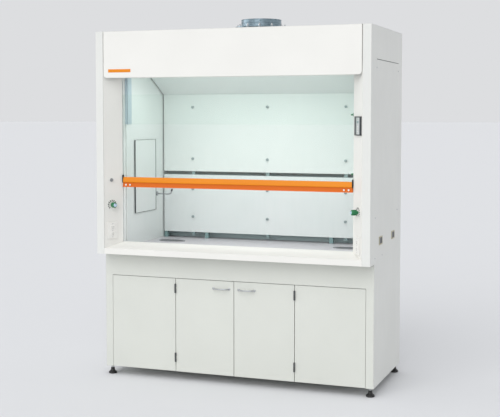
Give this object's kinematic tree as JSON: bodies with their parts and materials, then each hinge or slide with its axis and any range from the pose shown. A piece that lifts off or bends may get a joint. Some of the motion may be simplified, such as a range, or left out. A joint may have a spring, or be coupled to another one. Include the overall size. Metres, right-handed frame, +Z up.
{
  "type": "fume hood",
  "caption": "Laboratory fume hood on a steel base cabinet, with counterweighted vertical glass sashes, splayed service jambs, a baffled lined chamber and a roof duct collar.",
  "frame": {"origin": "centre of the footprint of the whole hood, on the floor", "axes": "+X to the right seen from the front, +Y from the front to the back, +Z up"},
  "size_m": [1.8, 0.85, 2.3333],
  "materials": {
    "white_enamel_steel": "fine powder coat, satin",
    "casing_enamel_steel": "fine powder coat, satin",
    "cabinet_enamel_steel": "fine powder coat, satin",
    "chamber_liner_pvc": "smooth rigid sheet, semi-gloss",
    "worktop_board": "fine speckle, satin",
    "cup_plastic": "moulded polypropylene",
    "sash_glass": "clear tempered glass",
    "orange_coated_aluminium": "orange powder coat on an extrusion",
    "black_nylon": "moulded, satin",
    "anodised_aluminium": "satin anodised",
    "guide_plastic": "extruded, smooth",
    "hardware_steel": "brushed stainless",
    "galvanised_steel": "zinc spangle",
    "counterweight_iron": "rough cast",
    "green_knob_plastic": "moulded, gloss",
    "frame_plastic": "extruded, satin",
    "grey_device_plastic": "moulded, fine grain",
    "dark_device_plastic": "moulded, fine grain",
    "white_device_plastic": "moulded, semi-gloss",
    "black_foot_plastic": "moulded, satin"
  },
  "bodies": {
    "root": {"side_panel_left": "casing_enamel_steel", "side_panel_right": "casing_enamel_steel", "rear_panel": "casing_enamel_steel", "roof_panel": "casing_enamel_steel", "corner_column_left": "casing_enamel_steel", "corner_column_right": "casing_enamel_steel", "jamb_panel_left": "white_enamel_steel", "jamb_panel_right": "white_enamel_steel", "header_panel": "white_enamel_steel", "sill_panel": "white_enamel_steel", "duct_collar": "galvanised_steel", "worktop": "worktop_board", "cup_sink_left": "cup_plastic", "cup_sink_right": "cup_plastic", "baffle_lower": "chamber_liner_pvc", "baffle_upper": "chamber_liner_pvc", "ceiling_panel": "chamber_liner_pvc", "baffle_frame": "frame_plastic", "side_liner_left": "chamber_liner_pvc", "side_liner_right": "chamber_liner_pvc", "access_panel_left": "chamber_liner_pvc", "access_panel_right": "chamber_liner_pvc", "lamp": "white_device_plastic", "sash_guide_left": "guide_plastic", "sash_guide_right": "guide_plastic", "sash_cable_left": "hardware_steel", "sash_cable_right": "hardware_steel", "outlet_plate_left": "white_device_plastic", "outlet_plate_right": "white_device_plastic", "airflow_monitor": "dark_device_plastic", "wall_nozzle_upper": "green_knob_plastic", "wall_nozzle_lower": "green_knob_plastic", "service_spout": "hardware_steel", "cabinet_face_frame": "cabinet_enamel_steel", "cabinet_floor": "cabinet_enamel_steel", "partition_left": "cabinet_enamel_steel", "partition_right": "cabinet_enamel_steel", "fixed_panel_left": "cabinet_enamel_steel", "fixed_panel_right": "cabinet_enamel_steel", "foot_front_left": "black_foot_plastic", "foot_front_right": "black_foot_plastic", "foot_rear_left": "black_foot_plastic", "foot_rear_right": "black_foot_plastic"},
    "lower_sash": {"lower_sash_glass": "sash_glass", "sash_rail": "orange_coated_aluminium", "sash_runner_left": "black_nylon", "sash_runner_right": "black_nylon"},
    "upper_sash": {"upper_sash_glass": "sash_glass", "upper_sash_frame": "anodised_aluminium"},
    "counterweight_left": {"counterweight_left": "counterweight_iron"},
    "counterweight_right": {"counterweight_right": "counterweight_iron"},
    "pulley_left": {"pulley_left": "hardware_steel"},
    "pulley_right": {"pulley_right": "hardware_steel"},
    "door_left": {"door_left": "cabinet_enamel_steel", "door_handle_left": "hardware_steel"},
    "door_right": {"door_right": "cabinet_enamel_steel", "door_handle_right": "hardware_steel"},
    "valve_knob_left": {"valve_knob_left": "green_knob_plastic"},
    "valve_knob_right": {"valve_knob_right": "green_knob_plastic"},
    "lamp_switch": {"lamp_switch": "grey_device_plastic"}
  },
  "joints": [
    {"name": "sash_slide", "type": "slide", "parent": "root", "child": "lower_sash", "axis": [0, 0, 1], "range_m": [-0.354, 0.365], "deforming": ["sash_cable_left", "sash_cable_right"]},
    {"name": "counterweight_left_slide", "type": "slide", "parent": "root", "child": "counterweight_left", "axis": [0, 0, 1], "range_m": [-0.365, 0.354]},
    {"name": "counterweight_right_slide", "type": "slide", "parent": "root", "child": "counterweight_right", "axis": [0, 0, 1], "range_m": [-0.365, 0.354]},
    {"name": "pulley_left_spin", "type": "hinge", "parent": "root", "child": "pulley_left", "pos_m": [-0.821, -0.3085, 2.19], "axis": [0, 1, 0], "continuous": true},
    {"name": "pulley_right_spin", "type": "hinge", "parent": "root", "child": "pulley_right", "pos_m": [0.821, -0.3085, 2.19], "axis": [0, 1, 0], "continuous": true},
    {"name": "upper_sash_slide", "type": "slide", "parent": "root", "child": "upper_sash", "axis": [0, 0, 1], "range_m": [-0.2, 0]},
    {"name": "door_left_hinge", "type": "hinge", "parent": "root", "child": "door_left", "pos_m": [-0.4, -0.3165, 0.3725], "axis": [0, 0, 1], "range_deg": [-110, 0]},
    {"name": "door_right_hinge", "type": "hinge", "parent": "root", "child": "door_right", "pos_m": [0.4, -0.3165, 0.3725], "axis": [0, 0, 1], "range_deg": [0, 110]},
    {"name": "valve_left_turn", "type": "hinge", "parent": "root", "child": "valve_knob_left", "pos_m": [-0.8152, -0.3786, 1.127], "axis": [0.8, -0.6, 0], "range_deg": [0, 270]},
    {"name": "valve_right_turn", "type": "hinge", "parent": "root", "child": "valve_knob_right", "pos_m": [0.8152, -0.3786, 1.127], "axis": [-0.8, -0.6, 0], "range_deg": [0, 270]},
    {"name": "lamp_switch_press", "type": "slide", "parent": "root", "child": "lamp_switch", "axis": [-0.8, 0.6, 0], "range_m": [0, 0.003], "stiffness_N_per_m": 300}
  ],
  "couplings": [
    {"joint": "counterweight_left_slide", "follows": "sash_slide", "ratio": -1},
    {"joint": "counterweight_right_slide", "follows": "sash_slide", "ratio": -1},
    {"joint": "pulley_left_spin", "follows": "sash_slide", "rad_per_m": -28.571},
    {"joint": "pulley_right_spin", "follows": "sash_slide", "rad_per_m": 28.571}
  ]
}
